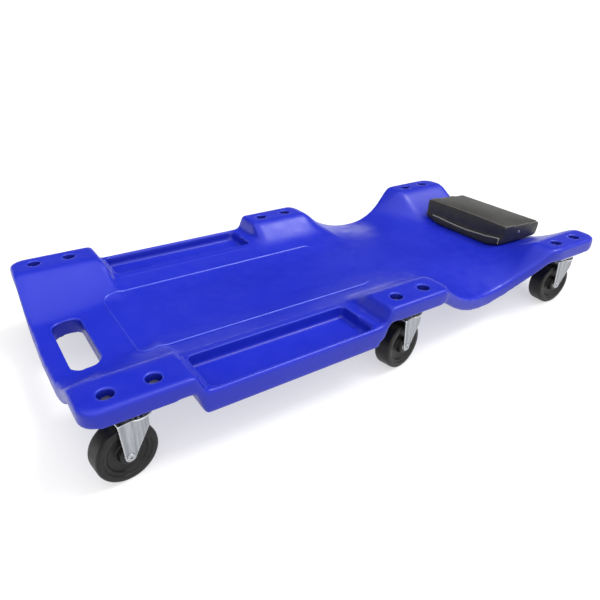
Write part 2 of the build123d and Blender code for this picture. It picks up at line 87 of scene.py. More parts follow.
POCKET_SHADE = 0.75  # how strong the painted shade is in the bolt pockets, on the hand hold's walls and on the side walls
HOLD_SHADE = 0.7
WALL_SHADE = 0.4
POCKET_PITCH = 28.4 * MM  # from a caster's middle to its bolts
POCKET_REACH = 10.6 * MM
POCKET_CLEAR = 14.0 * MM  # walls of the pockets lie within this of the bolts
PAD_TOP_Z = 122.0 * MM  # just under the pads' tops
DISH_LOW_Z = 76.0 * MM  # under the dish's top surface, over the deck's underside
TRAY_MIDDLE_X = -203.5 * MM
TRAY_HALF_X = 133.0 * MM
TRAY_INNER_Y = 148.0 * MM
HAND_HOLD = (-446.5 * MM, 25.0 * MM, 76.0 * MM)  # its middle and its half sizes
TRAIL = 20.0 * MM  # the axle's place behind the caster's swivel
AXLE_Z = 40.0 * MM
BEAD_HEIGHT = 1.4 * MM
CASTERS = ["foot_left", "foot_right", "middle_left", "middle_right", "head_left", "head_right"]


# ---- Frame helpers ----
def joint_named(name):
    return next(joint for joint in frame["joints"] if joint["name"] == name)


# ---- Mesh helpers ----
def new_object(name, mesh):
    """A new object in the scene."""
    obj = bpy.data.objects.new(name, mesh)
    bpy.context.scene.collection.objects.link(obj)
    return obj


def apply_modifiers(obj):
    """Turns the object's modifiers into its mesh."""
    bpy.context.view_layer.update()
    graph = bpy.context.evaluated_depsgraph_get()
    mesh = bpy.data.meshes.new_from_object(obj.evaluated_get(graph))
    obj.modifiers.clear()
    obj.data = mesh


def node_copy(node, name, outer_only=False):
    """A new object with a CAD node's surface, its split edges merged."""
    copy = bmesh.new()
    copy.from_mesh(frame["nodes"][node].data)
    bmesh.ops.remove_doubles(copy, verts=copy.verts, dist=1e-6)
    if outer_only:
        keep_outer_shell(copy)
    mesh = bpy.data.meshes.new(name)
    copy.to_mesh(mesh)
    copy.free()
    return new_object(name, mesh)


def keep_outer_shell(copy):
    """Deletes the closed surfaces inside the largest one."""
    copy.verts.ensure_lookup_table()
    unseen = set(copy.verts)
    shells = []
    while unseen:
        shell = [unseen.pop()]
        for vert in shell:
            for edge in vert.link_edges:
                other = edge.other_vert(vert)
                if other in unseen:
                    unseen.remove(other)
                    shell.append(other)
        shells.append(shell)
    shells.sort(key=lambda shell: max(v.co.x for v in shell) - min(v.co.x for v in shell))
    for shell in shells[:-1]:
        bmesh.ops.delete(copy, geom=shell, context="VERTS")


def points_of(mesh):
    """The mesh's points as an array."""
    co = np.empty(len(mesh.vertices) * 3)
    mesh.vertices.foreach_get("co", co)
    return co.reshape(-1, 3)


def set_points(mesh, co):
    """Moves the mesh's points."""
    mesh.vertices.foreach_set("co", co.ravel())
    mesh.update()


def voxel_skin(obj, voxel, rounds):
    """Rebuilds a solid as one even skin and rounds its edges over."""
    skin = obj.modifiers.new("skin", "REMESH")
    skin.mode = "VOXEL"
    skin.voxel_size = voxel
    skin.use_smooth_shade = True
    apply_modifiers(obj)
    smooth(obj, rounds)


def smooth(obj, rounds, weights=None):
    """Evens the surface out, more where the weights are high."""
    soft = obj.modifiers.new("soft", "SMOOTH")
    soft.factor = 0.5
    soft.iterations = rounds
    if weights is not None:
        group = obj.vertex_groups.new(name="soft")
        for level in range(1, 11):
            chosen = np.flatnonzero(np.round(weights * 10) == level)
            group.add([int(i) for i in chosen], level / 10, "REPLACE")
        soft.vertex_group = "soft"
    apply_modifiers(obj)
    obj.vertex_groups.clear()


def soft_edges(obj, width, segments=2, angle=28):
    """Rounds the sharp edges of a machined or pressed piece."""
    work = bmesh.new()
    work.from_mesh(obj.data)
    bmesh.ops.dissolve_limit(work, angle_limit=math.radians(1.0), verts=work.verts,
                             edges=work.edges)
    work.to_mesh(obj.data)
    work.free()
    bevel = obj.modifiers.new("edges", "BEVEL")
    bevel.width = width
    bevel.segments = segments
    bevel.limit_method = "ANGLE"
    bevel.angle_limit = math.radians(angle)
    bevel.harden_normals = False
    apply_modifiers(obj)
    obj.data.shade_smooth()
    smooth_by_angle(obj.data, 35)


def smooth_by_angle(mesh, degrees):
    """Marks edges sharper than the angle so that flat faces look flat."""
    work = bmesh.new()
    work.from_mesh(mesh)
    for edge in work.edges:
        edge.smooth = len(edge.link_faces) == 2 and edge.calc_face_angle(0) < math.radians(degrees)
    work.to_mesh(mesh)
    work.free()


def lathe(name, profile, axis_x, axis_z, steps=128):
    """A closed profile of (radius, y) points turned about an axis along Y."""
    work = bmesh.new()
    rings = []
    for step in range(steps):
        angle = 2 * math.pi * step / steps
        ring = [work.verts.new((axis_x + r * math.cos(angle), y, axis_z + r * math.sin(angle)))
                for r, y in profile]
        rings.append(ring)
    for ring, after in zip(rings, rings[1:] + rings[:1]):
        for i in range(len(profile)):
            j = (i + 1) % len(profile)
            work.faces.new((ring[i], ring[j], after[j], after[i]))
    bmesh.ops.recalc_face_normals(work, faces=work.faces)
    mesh = bpy.data.meshes.new(name)
    work.to_mesh(mesh)
    work.free()
    mesh.shade_smooth()
    smooth_by_angle(mesh, 40)
    return mesh


def rounded(corners, radius, steps=4):
    """A closed outline with each corner replaced by a small arc."""
    outline = []
    count = len(corners)
    for i, corner in enumerate(corners):
        here = Vector(corner)
        back = Vector(corners[i - 1]) - here
        ahead = Vector(corners[(i + 1) % count]) - here
        reach = min(radius, back.length * 0.45, ahead.length * 0.45)
        start = here + back.normalized() * reach
        end = here + ahead.normalized() * reach
        for step in range(steps + 1):
            t = step / steps
            point = start.lerp(here, t).lerp(here.lerp(end, t), t)
            outline.append((point.x, point.y))
    return outline


def tube(name, path, radius, sides=10, closed=False):
    """A round cord's mesh along a list of points."""
    work = bmesh.new()
    rings = []
    count = len(path)
    for i, point in enumerate(path):
        before = path[i - 1] if closed or i else path[i]
        after = path[(i + 1) % count] if closed or i < count - 1 else path[i]
        along = (after - before).normalized()
        side = along.cross(Vector((0, 0, 1)))
        if side.length < 0.1:
            side = along.cross(Vector((1, 0, 0)))
        side.normalize()
        up = side.cross(along)
        ring = []
        for k in range(sides):
            angle = 2 * math.pi * k / sides
            ring.append(work.verts.new(point + (side * math.cos(angle) + up * math.sin(angle)) * radius))
        rings.append(ring)
    pairs = list(zip(rings, rings[1:]))
    if closed:
        pairs.append((rings[-1], rings[0]))
    for ring, after in pairs:
        for k in range(sides):
            work.faces.new((ring[k], ring[(k + 1) % sides], after[(k + 1) % sides], after[k]))
    if not closed:
        work.faces.new(rings[0])
        work.faces.new(rings[-1])
    bmesh.ops.recalc_face_normals(work, faces=work.faces)
    mesh = bpy.data.meshes.new(name)
    work.to_mesh(mesh)
    work.free()
    mesh.shade_smooth()
    return new_object(name, mesh)


# ---- Materials ----
class Shader:
    """One node-based material around a Principled shader."""

    def __init__(self, name, color, roughness, metallic=0.0):
        self.material = bpy.data.materials.new(name)
        self.material.use_nodes = True
        self.nodes = self.material.node_tree.nodes
        self.links = self.material.node_tree.links
        self.bsdf = self.nodes["Principled BSDF"]
        self.bsdf.inputs["Base Color"].default_value = (*color, 1)
        self.bsdf.inputs["Roughness"].default_value = roughness
        self.bsdf.inputs["Metallic"].default_value = metallic
        self.place = self.nodes.new("ShaderNodeTexCoord").outputs["Object"]

    def stretched(self, x, y, z):
        """The place on the object, scaled along its axes."""
        mapping = self.nodes.new("ShaderNodeMapping")
        mapping.inputs["Scale"].default_value = (x, y, z)
        self.links.new(self.place, mapping.inputs["Vector"])
        return mapping.outputs["Vector"]

    def noise(self, scale, detail=3.0, place=None):
        """Cloudy variation from 0 to 1."""
        node = self.nodes.new("ShaderNodeTexNoise")
        node.inputs["Scale"].default_value = scale
        node.inputs["Detail"].default_value = detail
        self.links.new(place or self.place, node.inputs["Vector"])
        return node.outputs["Fac"]

    def cells(self, scale, feature="F1"):
        """Cell pattern: distance to the cell's middle or edge."""
        node = self.nodes.new("ShaderNodeTexVoronoi")
        node.feature = feature
        node.inputs["Scale"].default_value = scale
        self.links.new(self.place, node.inputs["Vector"])
        return node.outputs["Distance"]

    def remap(self, value, low, high, new_low, new_high):
        """value stretched from one range to another."""
        node = self.nodes.new("ShaderNodeMapRange")
        for socket, number in (("From Min", low), ("From Max", high), ("To Min", new_low),
                               ("To Max", new_high)):
            node.inputs[socket].default_value = number
        self.links.new(value, node.inputs["Value"])
        return node.outputs["Result"]

    def attribute(self, name):
        """A value kept on the mesh."""
        node = self.nodes.new("ShaderNodeAttribute")
        node.attribute_name = name
        return node.outputs["Fac"]

    def edges(self, low, high):
        """1 on the convex edges, 0 elsewhere."""
        return self.remap(self.nodes.new("ShaderNodeNewGeometry").outputs["Pointiness"],
                          low, high, 0.0, 1.0)

    def mix(self, fac, a, b):
        """Colour a turning to colour b by fac. Each is a colour or a socket."""
        node = self.nodes.new("ShaderNodeMix")
        node.data_type = "RGBA"
        self.links.new(fac, node.inputs[0])
        for socket, value in ((node.inputs[6], a), (node.inputs[7], b)):
            if isinstance(value, tuple):
                socket.default_value = (*value, 1)
            else:
                self.links.new(value, socket)
        return node.outputs[2]

    def times(self, a, b):
        """a times b."""
        node = self.nodes.new("ShaderNodeMath")
        node.operation = "MULTIPLY"
        self.links.new(a, node.inputs[0])
        if isinstance(b, float):
            node.inputs[1].default_value = b
        else:
            self.links.new(b, node.inputs[1])
        return node.outputs[0]

    def color(self, value):
        self.links.new(value, self.bsdf.inputs["Base Color"])

    def roughness(self, value):
        self.links.new(value, self.bsdf.inputs["Roughness"])

    def bump(self, height, distance, strength=1.0):
        """Adds one layer of relief, distance in metres."""
        node = self.nodes.new("ShaderNodeBump")
        node.inputs["Strength"].default_value = strength
        node.inputs["Distance"].default_value = distance
        self.links.new(height, node.inputs["Height"])
        normal = self.bsdf.inputs["Normal"]
        if normal.is_linked:
            self.links.new(normal.links[0].from_socket, node.inputs["Normal"])
        self.links.new(node.outputs["Normal"], normal)


def deck_plastic():
    """Royal blue blow-moulded polyethylene, satin, with fine mould grain, a painted highlight on its proud edges
    and painted shade in its hollows, bolt pockets, hand hold and side walls.
    """
    s = Shader("deck_plastic", (0.005, 0.013, 0.41), 0.4)
    cloud = s.mix(s.remap(s.noise(7, 4), 0.35, 0.65, 0, 1), (0.004, 0.013, 0.39), (0.007, 0.017, 0.43))
    fleck = s.mix(s.remap(s.noise(420, 2), 0.45, 0.75, 0, 0.25), cloud, (0.014, 0.028, 0.48))
    # Painted highlight: proud edges and the panel line are painted a lighter blue.
    highlight_amount = s.times(s.attribute("painted_highlight"), s.remap(s.noise(60, 5), 0.35, 0.6, 0.45, 0.85))
    smoothed_copy_and_highlit_colour = s.mix(highlight_amount, fleck, (0.09, 0.15, 0.70))
    # Painted shade: hollows, bolt pockets, the hand hold's walls and the side walls are painted a darker blue.
    s.color(s.mix(s.times(s.attribute("painted_shade"), 0.8), smoothed_copy_and_highlit_colour, (0.002, 0.005, 0.14)))
    s.roughness(s.remap(s.noise(45, 5), 0.3, 0.7, 0.28, 0.42))
    s.bump(s.noise(1400, 2), 0.00006, 0.55)
    s.bump(s.noise(110, 2), 0.0003, 0.22)
    s.bsdf.inputs["Specular IOR Level"].default_value = 0.36
    return s.material


def zinc_steel():
    """Bright zinc plating over pressed steel, with faint rolling streaks, a bluish cast and a painted highlight on
    its convex edges.
    """
    s = Shader("zinc_steel", (0.42, 0.44, 0.47), 0.3, 1.0)
    streaks = s.noise(1, 4, s.stretched(220, 220, 12))
    tone = s.mix(s.remap(streaks, 0.36, 0.64, 0, 1), (0.25, 0.265, 0.29), (0.39, 0.40, 0.42))
    # Painted highlight: convex edges are painted near white.
    s.color(s.mix(s.times(s.edges(0.515, 0.565), 0.95), tone, (0.95, 0.96, 0.97)))
    s.roughness(s.remap(s.noise(1, 5, s.stretched(600, 600, 60)), 0.3, 0.7, 0.24, 0.42))
    s.bump(s.noise(1, 4, s.stretched(900, 900, 110)), 0.00004, 0.5)
    return s.material


def zinc_shaded():
    """A darker copy of the zinc for the bolts and washers down in the deck's pockets, as painted shade, with a
    painted highlight on their convex edges.
    """
    s = Shader("zinc_shaded", (0.12, 0.125, 0.13), 0.35, 1.0)
    tone = s.mix(s.remap(s.noise(160, 4), 0.35, 0.65, 0, 1), (0.05, 0.055, 0.07), (0.14, 0.145, 0.16))
    # Painted highlight: convex edges are painted near white.
    s.color(s.mix(s.times(s.edges(0.52, 0.58), 0.9), tone, (0.85, 0.87, 0.9)))
    s.roughness(s.remap(s.noise(300, 4), 0.3, 0.7, 0.26, 0.45))
    s.bump(s.noise(500, 3), 0.0001, 0.5)
    return s.material


def bearing_steel():
    """Polished steel balls with a thin film of grease."""
    s = Shader("bearing_steel", (0.72, 0.72, 0.74), 0.12, 1.0)
    s.roughness(s.remap(s.noise(500, 4), 0.35, 0.7, 0.08, 0.3))
    s.color(s.mix(s.remap(s.noise(300, 3), 0.4, 0.7, 0, 0.5), (0.74, 0.74, 0.76), (0.45, 0.42, 0.36)))
    return s.material


def wheel_plastic():
    """Black hard polypropylene, satin, with a dusty bloom."""
    s = Shader("wheel_plastic", (0.014, 0.014, 0.015), 0.42)
    bloom = s.remap(s.noise(130, 5), 0.4, 0.72, 0, 0.5)
    s.color(s.mix(bloom, (0.004, 0.0038, 0.004), (0.012, 0.0115, 0.012)))
    s.roughness(s.remap(s.noise(60, 5), 0.3, 0.7, 0.32, 0.52))
    s.bump(s.noise(1800, 2), 0.00005, 0.5)
    s.bsdf.inputs["Specular IOR Level"].default_value = 0.3
    return s.material


def bush_nylon():
    """Natural nylon."""
    s = Shader("bush_nylon", (0.72, 0.70, 0.62), 0.45)
    s.color(s.mix(s.noise(200, 4), (0.66, 0.64, 0.56), (0.76, 0.74, 0.67)))
    s.bump(s.noise(1500, 2), 0.00004, 0.5)
    s.bsdf.inputs["Subsurface Weight"].default_value = 0.1
    return s.material


def headrest_vinyl():
    """Black upholstery vinyl with a pressed leather grain and a painted highlight on its convex edges."""
    s = Shader("headrest_vinyl", (0.02, 0.02, 0.02), 0.45)
    tone = s.mix(s.remap(s.noise(40, 4), 0.35, 0.65, 0, 1), (0.008, 0.0077, 0.006), (0.014, 0.0133, 0.0105))
    # Painted highlight: convex edges are painted a lighter grey.
    s.color(s.mix(s.times(s.edges(0.51, 0.56), 0.4), tone, (0.06, 0.058, 0.055)))
    s.roughness(s.remap(s.noise(300, 4), 0.3, 0.7, 0.36, 0.52))
    s.bump(s.cells(950, "DISTANCE_TO_EDGE"), 0.00022, 0.75)
    s.bump(s.noise(2600, 3), 0.00006, 0.6)
    s.bump(s.noise(55, 3), 0.0009, 0.35)
    s.bsdf.inputs["Sheen Weight"].default_value = 0.08
    s.bsdf.inputs["Sheen Roughness"].default_value = 0.4
    return s.material


def piping(name, dark, light):
    """Vinyl-covered cord sewn into a seam."""
    s = Shader(name, light, 0.4)
    s.color(s.mix(s.remap(s.noise(500, 3), 0.35, 0.65, 0, 1), dark, light))
    s.roughness(s.remap(s.noise(400, 3), 0.3, 0.7, 0.34, 0.5))
    s.bump(s.noise(1500, 2), 0.0001, 0.6)
    return s.material


def headrest_foam():
    """Open-cell polyurethane foam."""
    s = Shader("headrest_foam", (0.7, 0.64, 0.45), 0.95)
    s.color(s.mix(s.cells(700), (0.42, 0.36, 0.2), (0.74, 0.68, 0.5)))
    s.bump(s.cells(700), 0.0006, 0.8)
    return s.material


def plywood():
    """Birch plywood with its layers and long grain."""
    s = Shader("plywood", (0.6, 0.45, 0.28), 0.65)
    grain = s.noise(1, 6, s.stretched(220, 22, 900))
    s.color(s.mix(s.remap(grain, 0.35, 0.65, 0, 1), (0.45, 0.31, 0.17), (0.68, 0.53, 0.34)))
    s.bump(grain, 0.0002, 0.5)
    return s.material


def floor_surface(name, glow):
    """Pale studio floor."""
    s = Shader(name, (0.42, 0.42, 0.42), 0.9)
    s.color(s.mix(s.noise(3, 3), (0.41, 0.41, 0.41), (0.43, 0.43, 0.43)))
    s.bsdf.inputs["Emission Color"].default_value = (1, 1, 1, 1)
    s.bsdf.inputs["Emission Strength"].default_value = glow
    s.bsdf.inputs["Specular IOR Level"].default_value = 0.0
    return s.material


MATERIALS = {
    "deck_plastic": deck_plastic(),
    "zinc_steel": zinc_steel(),
    "bearing_steel": bearing_steel(),
    "wheel_plastic": wheel_plastic(),
    "bush_nylon": bush_nylon(),
    "headrest_vinyl": headrest_vinyl(),
    "headrest_foam": headrest_foam(),
    "plywood": plywood(),
}
ZINC_SHADED = zinc_shaded()
PIPING_GREY = piping("piping_grey", (0.22, 0.21, 0.19), (0.36, 0.34, 0.31))
PIPING_BLACK = piping("piping_black", (0.010, 0.010, 0.010), (0.024, 0.023, 0.022))
# The top seam's cord is the same black cord painted lighter, as a painted highlight.
PIPING_HIGHLIT = piping("piping_highlit", (0.07, 0.066, 0.06), (0.14, 0.13, 0.115))


def finish_piece(obj, body, slot, nodes=(), material=None):
    """Gives a piece the material of its slot, puts it on its body and hides the nodes it stands for."""
    obj.data.materials.clear()
    obj.data.materials.append(material or MATERIALS[slot])
    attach(obj, body)
    if nodes:
        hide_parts(*nodes)
    return obj


# ---- Carried-over nodes take their slot's material ----
for row in frame["record"]["subparts"]:
    node = frame["nodes"][row["node"]]
    node.data.materials.clear()
    node.data.materials.append(MATERIALS[row["material_slot"]])


# ---- Deck ----
def panel_distance(x, y):
    """How far a point is from the panel's rounded outline."""
    out_x = np.abs(x - PANEL_MIDDLE_X) - (PANEL_HALF_X - PANEL_CORNER_R)
    out_y = np.abs(y) - (PANEL_HALF_Y - PANEL_CORNER_R)
    outside = np.hypot(np.maximum(out_x, 0), np.maximum(out_y, 0))
    inside = np.minimum(np.maximum(out_x, out_y), 0)
    return np.abs(outside + inside - PANEL_CORNER_R)


def raise_panel_line(obj, top_z):
    """Raises the thin panel line on the dish, which runs out towards the head.
    Gives back how much painted highlight the line gets."""
    work = bmesh.new()
    work.from_mesh(obj.data)
    near = []
    for face in work.faces:
        middle = face.calc_center_median()
        if middle.z > top_z and face.normal.z > 0.7 and panel_distance(middle.x, middle.y) < 4.5 * MM:
            near.append(face)
    edges = list({edge for face in near for edge in face.edges})
    bmesh.ops.subdivide_edges(work, edges=edges, cuts=2, use_grid_fill=True)
    work.to_mesh(obj.data)
    work.free()
    co = points_of(obj.data)
    gap = panel_distance(co[:, 0], co[:, 1])
    end_x = PANEL_MIDDLE_X + PANEL_HALF_X
    fade = np.clip((end_x - co[:, 0]) / PANEL_FADE, 0, 1)
    height = PANEL_HEIGHT * np.exp(-(gap / PANEL_LINE_HALF) ** 2) * fade
    height[co[:, 2] < top_z] = 0
    co[:, 2] += height
    set_points(obj.data, co)
    # Painted highlight on the panel line, stronger along its sides than across its end.
    long_side = np.abs(np.abs(co[:, 1]) - PANEL_HALF_Y) < 4 * MM
    return height / PANEL_HEIGHT * np.where(long_side, PANEL_LONG_HIGHLIGHT, PANEL_END_HIGHLIGHT)


def outer_edge_weights(mesh):
    """1 at the deck's outer walls, falling to 0 a little way inside them."""
    co = points_of(mesh)
    normal = mesh_normals(mesh)
    wall = (np.abs(normal[:, 2]) < 0.3) & ((normal[:, :2] * co[:, :2]).sum(1) > 0)
    wall &= (np.abs(co[:, 1]) > 200 * MM) | (np.abs(co[:, 0]) > 478 * MM)
    by_seat = np.zeros(len(co), bool)
    for caster in CASTERS:
        pivot = joint_named(f"{caster}_swivel")["pos_m"]
        wall &= np.hypot(np.abs(co[:, 0] - pivot[0]) - POCKET_PITCH, co[:, 1] - pivot[1]) > POCKET_CLEAR
        near_seat = (np.abs(co[:, 0] - pivot[0]) < SEAT_HALF[0]) & (co[:, 2] < 103 * MM)
        wall &= ~(near_seat & (np.abs(np.abs(co[:, 1]) - CASTER_Y) < SEAT_HALF[1]))
        by_seat |= near_seat
    tree = KDTree(int(wall.sum()))
    for i, point in enumerate(co[wall]):
        tree.insert(point, i)
    tree.balance()
    near = (np.abs(co[:, 1]) > 190 * MM) | (np.abs(co[:, 0]) > 465 * MM)
    gap = np.full(len(co), 1.0)
    for i in np.flatnonzero(near):
        gap[i] = tree.find(co[i])[2]
    weights = np.clip(1.6 - gap / EDGE_REACH, 0, 1)
    weights[by_seat] *= 0.3
    return weights


def mesh_normals(mesh):
    """The mesh's point normals as an array."""
    normal = np.empty(len(mesh.vertices) * 3)
    mesh.vertices.foreach_get("normal", normal)
    return normal.reshape(-1, 3)


def blend_weights(mesh):
    """1 where the dish runs up into the caster pads, away from their bolt pockets and the trays."""
    co = points_of(mesh)
    across = np.abs(co[:, 1])
    weights = np.zeros(len(co))
    for caster in CASTERS:
        pivot = joint_named(f"{caster}_swivel")["pos_m"]
        along = np.clip((105 * MM - np.abs(co[:, 0] - pivot[0])) / (15 * MM), 0, 1)
        weights = np.maximum(weights, along)
    weights *= np.clip((across - 95 * MM) / (15 * MM), 0, 1) * np.clip((188 * MM - across) / (10 * MM), 0, 1)
    tray = np.maximum(np.abs(co[:, 0] - TRAY_MIDDLE_X) - TRAY_HALF_X, TRAY_INNER_Y - across)
    weights *= np.clip((tray - 5 * MM) / (8 * MM), 0, 1)
    weights[(mesh_normals(mesh)[:, 2] < 0.6) | (co[:, 2] < DISH_LOW_Z)] = 0
    return weights


def measure_highlight(obj):
    """How far each point stands proud of its surroundings, and how much painted highlight that gives it."""
    mesh = obj.data
    normal = mesh_normals(mesh)
    smoothed_copy_and_highlit_colour = new_object("smoothed_copy", mesh.copy())
    smooth(smoothed_copy_and_highlit_colour, 4)
    proud = ((points_of(mesh) - points_of(smoothed_copy_and_highlit_colour.data)) * normal).sum(1)
    bpy.data.objects.remove(smoothed_copy_and_highlit_colour)
    painted_highlight = np.clip((proud - HIGHLIGHT_START) / HIGHLIGHT_DEPTH, 0, 1)
    return proud, painted_highlight


def mark_surface(obj, bead):
    """Keeps on the mesh where the plastic gets a painted highlight and where it gets painted shade."""
    mesh = obj.data
    proud, painted_highlight = measure_highlight(obj)
    co = points_of(mesh)
    # The panel line's painted highlight joins that of the proud edges.
    painted_highlight = np.maximum(painted_highlight, bead)
    # Painted shade in the hollow corners.
    painted_shade = np.clip((-proud - SHADE_START) / SHADE_DEPTH, 0, 1)
    # Painted shade down in the bolt pockets.
    for caster in CASTERS:
        pivot = joint_named(f"{caster}_swivel")["pos_m"]
        gap = np.hypot(np.abs(co[:, 0] - pivot[0]) - POCKET_PITCH, co[:, 1] - pivot[1])
        inside = (gap < POCKET_REACH) & (co[:, 2] < PAD_TOP_Z)
        painted_shade[inside] = np.maximum(painted_shade[inside], POCKET_SHADE)
    # Painted shade on the hand hold's steep walls.
    middle_x, half_x, half_y = HAND_HOLD
    held = (np.abs(co[:, 0] - middle_x) < half_x) & (np.abs(co[:, 1]) < half_y)
    upward = mesh_normals(mesh)[:, 2]
    held &= upward < 0.35
    painted_shade[held] = np.maximum(painted_shade[held], HOLD_SHADE)
    # Painted shade on the steep walls, darker the more upright they are.
    painted_shade = np.maximum(painted_shade, WALL_SHADE * np.clip(1 - upward / 0.6, 0, 1))
    for name, values in (("painted_highlight", painted_highlight), ("painted_shade", painted_shade)):
        mesh.attributes.new(name, "FLOAT", "POINT").data.foreach_set("value", values)


def build_deck():
    """The moulded deck with rounded edges and its panel line."""
    deck = node_copy("deck", "deck_moulding", outer_only=True)
    voxel_skin(deck, DECK_VOXEL, 5)
    smooth(deck, EDGE_ROUNDS, outer_edge_weights(deck.data))
    smooth(deck, BLEND_ROUNDS, blend_weights(deck.data))
    mark_surface(deck, raise_panel_line(deck, DISH_LOW_Z))
    deck.data.shade_smooth()
    return finish_piece(deck, "deck_body", "deck_plastic", ["deck"])


build_deck()


# ---- Fasteners and plates ----
def build_fasteners():
    """Bolts, nuts, washers and headrest hardware with broken edges."""
    for node, width in (("caster_bolts", 0.35), ("caster_nuts", 0.5), ("caster_washers", 0.25),
                        ("headrest_screws", 0.2), ("headrest_washers", 0.25),
                        ("headrest_tee_nuts", 0.25)):
        piece = node_copy(node, f"{node}_finished")
        soft_edges(piece, width * MM)
        # The bolts and washers down in the pockets take the darker zinc, as painted shade.
        shaded_zinc = ZINC_SHADED if node in ("caster_bolts", "caster_washers") else None
        finish_piece(piece, "deck_body", "zinc_steel", [node], shaded_zinc)


build_fasteners()


# ---- Casters ----
def caster_place(caster):
    """Where a caster stands and which way it has swivelled."""
    pivot = joint_named(f"{caster}_swivel")["pos_m"]
    spin = joint_named(f"{caster}_wheel_spin")["axis"]
    yaw = math.atan2(-spin[0], spin[1])
    return Matrix.Translation((pivot[0], pivot[1], 0)) @ Matrix.Rotation(yaw, 4, "Z")


def at_origin(obj, place):
    """Moves a copy's mesh back to the caster's own frame."""
    obj.data.transform(place.inverted())


def build_fork_mesh():
    """A pressed fork: rounded edges and a shallow bead down each leg."""
    place = caster_place("foot_left")
    fork = node_copy("foot_left_fork", "fork_pressing")
    at_origin(fork, place)
    voxel_skin(fork, FORK_VOXEL, 3)
    co = points_of(fork.data)
    leg = np.abs(co[:, 1]) > 17 * MM
    high = np.clip((co[:, 2] - 40 * MM) / (50 * MM), 0, 1)
    middle_x = -20 * MM + high * 9.5 * MM
    ends = np.clip((86 * MM - co[:, 2]) / (8 * MM), 0, 1) * np.clip((co[:, 2] - 50 * MM) / (12 * MM), 0, 1)
    bead = np.exp(-((co[:, 0] - middle_x) / (1.5 * MM + high * 3.5 * MM)) ** 2)
    co[:, 1] += np.sign(co[:, 1]) * leg * ends * bead * BEAD_HEIGHT
    set_points(fork.data, co)
    mesh = fork.data
    bpy.data.objects.remove(fork)
    return mesh


def build_wheel_mesh():
    """Turned wheel: soft shoulders, stepped faces, web and hub."""
    half = [(40.0, 0.0), (40.0, 10.5), (39.0, 13.2), (36.5, 14.0), (31.6, 14.0), (30.6, 12.3),
            (26.6, 11.8), (25.0, 9.0), (14.6, 8.0), (13.2, 9.0), (12.0, 16.6), (6.5, 16.6)]
    corners = [(r * MM, y * MM) for r, y in half[1:]]
    corners += [(r * MM, -y * MM) for r, y in reversed(half[1:])]
    outline = rounded(corners, 1.6 * MM, 4)
    return lathe("wheel_moulding", outline, -TRAIL, AXLE_Z)


def bevelled_mesh(node, place, width):
    """One caster piece with broken edges, in the caster's own frame."""
    piece = node_copy(node, node + "_bevelled")
    at_origin(piece, place)
    soft_edges(piece, width)
    mesh = piece.data
    bpy.data.objects.remove(piece)
    return mesh


def build_casters():
    """All six casters from one set of shared meshes."""
    place = caster_place("foot_left")
    pivot = Matrix.Translation(place.translation)
    turned = {"fork": ("fork_body", "zinc_steel", build_fork_mesh()),
              "axle": ("fork_body", "zinc_steel", bevelled_mesh("foot_left_axle", place, 0.3 * MM)),
              "wheel": ("wheel_body", "wheel_plastic", build_wheel_mesh())}
    square = {"top_plate": bevelled_mesh("foot_left_top_plate", pivot, 0.5 * MM),
              "kingpin": bevelled_mesh("foot_left_kingpin", pivot, 0.4 * MM)}
    for caster in CASTERS:
        place = caster_place(caster)
        for part, (body, slot, mesh) in turned.items():
            piece = new_object(f"{caster}_{part}_finished", mesh)
            piece.matrix_world = place
            finish_piece(piece, f"{caster}_{body}", slot, [f"{caster}_{part}"])
        for part, mesh in square.items():
            piece = new_object(f"{caster}_{part}_finished", mesh)
            piece.matrix_world = Matrix.Translation(place.translation)
            finish_piece(piece, "deck_body", "zinc_steel", [f"{caster}_{part}"])


build_casters()


# ---- Headrest ----
REST_LOW, REST_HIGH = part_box("headrest_cover")
REST_MIDDLE = (REST_LOW + REST_HIGH) / 2
REST_SLOPE = math.tan(math.radians(4.0))
REST_TOP_MIDDLE_Z = 122.0 * MM
REST_VOXEL = 4.0 * MM
REST_PRESSURE = 4.0
REST_FRAMES = 20
REST_SWELL = 4.0 * MM  # how far the filling may push it out
REST_BAND = 2.5 * MM  # how far the band below the front seam stands out
FRONT_LEAN = (3.5 * MM, 5.0 * MM)  # the front's lean at its corners, and how much more midway
END_TAPER = 4.5 * MM  # how much shorter the cushion is at its foot
FRONT_SEAM_Z = 95.0 * MM
SEAM_IN = 2.2 * MM  # from the top's outline in to its seam


def rest_top(x):
    """The height of the cushion's top edge at x."""
    return REST_TOP_MIDDLE_Z - (x - REST_MIDDLE.x) * REST_SLOPE


def front_seam_z(y):
    """The height of the seam across the cushion's front, which rises to its ends."""
    near_rise = 8.0 * MM * np.minimum(y / (98 * MM), 0) ** 2
    far_rise = 3.0 * MM * np.maximum(y / (84 * MM), 0) ** 2
    return FRONT_SEAM_Z + near_rise + far_rise


def dish_under_rest():
    """A way to look up the deck's height under the cushion."""
    deck = frame["nodes"]["deck"].data
    tree = BVHTree.FromPolygons([v.co for v in deck.vertices], [p.vertices for p in deck.polygons])

    def height(x, y):
        """The deck's top at a point, or beside it where there is a screw hole."""
        hits = (tree.ray_cast(Vector((x + slip, y, 0.2)), Vector((0, 0, -1)))[0]
                for slip in (0, 0.02 * MM, 7 * MM, -7 * MM))
        return next(hit for hit in hits if hit is not None).z

    return height


def shrink(co, base_z, low, high):
    """Draws a box-like piece in from its sides, more towards its top."""
    share = np.clip((co[:, 2] - base_z) / (rest_top(co[:, 0]) - base_z), 0, 1)
    inset = low + (high - low) * share ** 1.5
    half = (REST_HIGH - REST_LOW) / 2
    for axis in (0, 1):
        off = co[:, axis] - REST_MIDDLE[axis]
        co[:, axis] = REST_MIDDLE[axis] + off * (1 - inset / half[axis])
    return co


